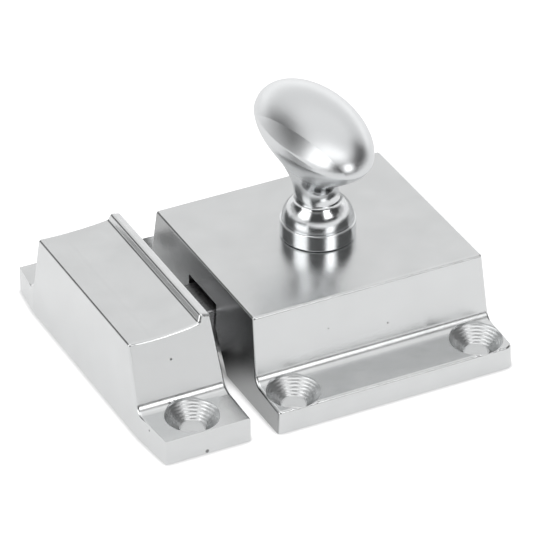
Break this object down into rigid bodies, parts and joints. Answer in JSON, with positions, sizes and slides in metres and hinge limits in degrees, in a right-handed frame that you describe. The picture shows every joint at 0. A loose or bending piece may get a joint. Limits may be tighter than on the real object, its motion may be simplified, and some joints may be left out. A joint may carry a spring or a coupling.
{
  "type": "cupboard catch latch",
  "caption": "Surface-mounted cupboard catch: a cast latch case with an oval turn knob and a sprung bolt, beside its raised keeper.",
  "frame": {"origin": "on the spindle's axis, in the plane of the door the case is screwed to, which is the middle of the case's four screw holes", "axes": "+X from the keeper towards the case's plain end, the way the bolt is drawn back; +Y along the keeper; +Z out of the door along the spindle"},
  "size_m": [0.0655, 0.059, 0.0428],
  "materials": {
    "case_chrome": "satin chrome plate over a casting",
    "knob_chrome": "satin chrome plate, brighter on the neck and collar",
    "keeper_chrome": "satin chrome plate over a casting",
    "spindle_steel": "turned steel",
    "washer_steel": "flat washer, zinc plated",
    "clip_steel": "dark spring steel",
    "cam_steel": "pressed and sintered steel",
    "bolt_chrome": "satin chrome plate",
    "spring_steel": "drawn spring wire",
    "pin_steel": "drawn steel",
    "plate_steel": "zinc plated sheet",
    "screw_steel": "zinc plated"
  },
  "bodies": {
    "case": {"latch_case": "case_chrome", "keeper": "keeper_chrome", "knob_washer": "washer_steel", "spring_pin": "pin_steel", "bolt_spring": "spring_steel", "back_plate": "plate_steel", "back_plate_screws": "screw_steel"},
    "knob": {"turn_knob": "knob_chrome", "spindle": "spindle_steel", "spindle_clip": "clip_steel", "cam": "cam_steel"},
    "bolt": {"latch_bolt": "bolt_chrome"}
  },
  "joints": [
    {"name": "knob_turn", "type": "hinge", "parent": "case", "child": "knob", "pos_m": [0, 0, 0], "axis": [0, 0, 1], "range_deg": [0, 75]},
    {"name": "bolt_slide", "type": "slide", "parent": "case", "child": "bolt", "axis": [1, 0, 0], "range_m": [0, 0.00524], "stiffness_N_per_m": 300, "springref_m": -0.006, "deforming": ["bolt_spring"]}
  ],
  "couplings": [
    {"joint": "knob_turn", "follows": "bolt_slide", "rad_per_m": 250}
  ]
}
